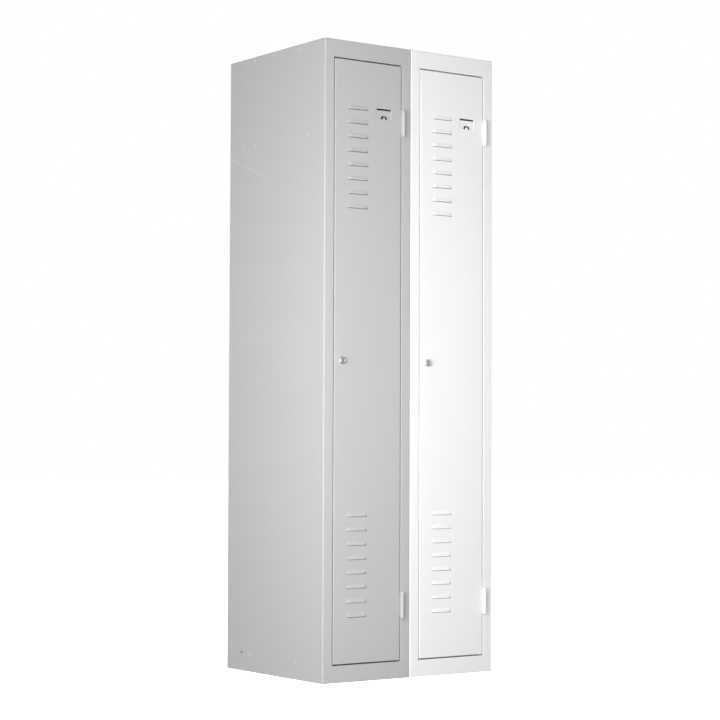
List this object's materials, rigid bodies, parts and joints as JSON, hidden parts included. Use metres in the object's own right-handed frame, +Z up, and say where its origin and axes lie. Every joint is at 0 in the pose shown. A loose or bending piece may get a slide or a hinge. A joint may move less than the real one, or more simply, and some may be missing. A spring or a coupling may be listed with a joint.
{
  "type": "clothes locker",
  "caption": "Tall steel clothes locker: grey and white units side by side, each with a louvred door on barrel hinges, a cam lock, a hat shelf and a coat rail with sliding hooks.",
  "frame": {"origin": "on the floor, under the middle of the whole object's bounding box", "axes": "+Z up, +X to the right seen from the front, +Y to the rear; the doors face -Y"},
  "size_m": [0.6004, 0.5102, 1.8],
  "materials": {
    "light_grey_paint": "smooth powder coat, half matt",
    "white_paint": "smooth powder coat, half matt",
    "zinc_steel": "zinc plate",
    "nickel_plate": "polished nickel plate",
    "dark_plastic": "moulded, matt",
    "rubber": "matt"
  },
  "bodies": {
    "carcass": {"grey_left_side_panel": "light_grey_paint", "grey_right_side_panel": "light_grey_paint", "grey_top_panel": "light_grey_paint", "grey_base_panel": "light_grey_paint", "grey_back_panel": "light_grey_paint", "grey_hat_shelf": "light_grey_paint", "grey_coat_rail": "zinc_steel", "grey_left_rail_hanger": "zinc_steel", "grey_right_rail_hanger": "zinc_steel", "grey_upper_frame_leaf": "light_grey_paint", "grey_lower_frame_leaf": "light_grey_paint", "grey_upper_hinge_pin": "zinc_steel", "grey_lower_hinge_pin": "zinc_steel", "grey_upper_door_buffer": "rubber", "grey_lower_door_buffer": "rubber", "white_left_side_panel": "white_paint", "white_right_side_panel": "white_paint", "white_top_panel": "white_paint", "white_base_panel": "white_paint", "white_back_panel": "white_paint", "white_hat_shelf": "white_paint", "white_coat_rail": "zinc_steel", "white_left_rail_hanger": "zinc_steel", "white_right_rail_hanger": "zinc_steel", "white_upper_frame_leaf": "white_paint", "white_lower_frame_leaf": "white_paint", "white_upper_hinge_pin": "zinc_steel", "white_lower_hinge_pin": "zinc_steel", "white_upper_door_buffer": "rubber", "white_lower_door_buffer": "rubber", "front_base_joining_screw": "zinc_steel", "rear_base_joining_screw": "zinc_steel", "front_top_joining_screw": "zinc_steel", "rear_top_joining_screw": "zinc_steel"},
    "grey_door": {"grey_door_panel": "light_grey_paint", "grey_door_stiffener": "light_grey_paint", "grey_upper_door_leaf": "light_grey_paint", "grey_lower_door_leaf": "light_grey_paint", "grey_lock_body": "nickel_plate", "grey_lock_nut": "zinc_steel"},
    "grey_latch": {"grey_lock_plug": "nickel_plate", "grey_lock_cam": "zinc_steel", "grey_cam_screw": "zinc_steel"},
    "grey_left_slider": {"grey_left_hook": "dark_plastic"},
    "grey_middle_slider": {"grey_middle_hook": "dark_plastic"},
    "grey_right_slider": {"grey_right_hook": "dark_plastic"},
    "white_door": {"white_door_panel": "white_paint", "white_door_stiffener": "white_paint", "white_upper_door_leaf": "white_paint", "white_lower_door_leaf": "white_paint", "white_lock_body": "nickel_plate", "white_lock_nut": "zinc_steel"},
    "white_latch": {"white_lock_plug": "nickel_plate", "white_lock_cam": "zinc_steel", "white_cam_screw": "zinc_steel"},
    "white_left_slider": {"white_left_hook": "dark_plastic"},
    "white_middle_slider": {"white_middle_hook": "dark_plastic"},
    "white_right_slider": {"white_right_hook": "dark_plastic"}
  },
  "joints": [
    {"name": "grey_door_hinge", "type": "hinge", "parent": "carcass", "child": "grey_door", "pos_m": [-0.02965, -0.25015, 0.8995], "axis": [0, 0, 1], "range_deg": [0, 110]},
    {"name": "white_door_hinge", "type": "hinge", "parent": "carcass", "child": "white_door", "pos_m": [0.27065, -0.25015, 0.8995], "axis": [0, 0, 1], "range_deg": [0, 110]},
    {"name": "grey_latch_turn", "type": "hinge", "parent": "grey_door", "child": "grey_latch", "pos_m": [-0.23865, -0.22, 0.8975], "axis": [0, -1, 0], "range_deg": [0, 90]},
    {"name": "white_latch_turn", "type": "hinge", "parent": "white_door", "child": "white_latch", "pos_m": [0.06165, -0.22, 0.8975], "axis": [0, -1, 0], "range_deg": [0, 90]},
    {"name": "grey_left_hook_slide", "type": "slide", "parent": "carcass", "child": "grey_left_slider", "axis": [1, 0, 0], "range_m": [-0.036, 0.036]},
    {"name": "grey_middle_hook_slide", "type": "slide", "parent": "carcass", "child": "grey_middle_slider", "axis": [1, 0, 0], "range_m": [-0.036, 0.036]},
    {"name": "grey_right_hook_slide", "type": "slide", "parent": "carcass", "child": "grey_right_slider", "axis": [1, 0, 0], "range_m": [-0.036, 0.036]},
    {"name": "white_left_hook_slide", "type": "slide", "parent": "carcass", "child": "white_left_slider", "axis": [1, 0, 0], "range_m": [-0.036, 0.036]},
    {"name": "white_middle_hook_slide", "type": "slide", "parent": "carcass", "child": "white_middle_slider", "axis": [1, 0, 0], "range_m": [-0.036, 0.036]},
    {"name": "white_right_hook_slide", "type": "slide", "parent": "carcass", "child": "white_right_slider", "axis": [1, 0, 0], "range_m": [-0.036, 0.036]}
  ]
}
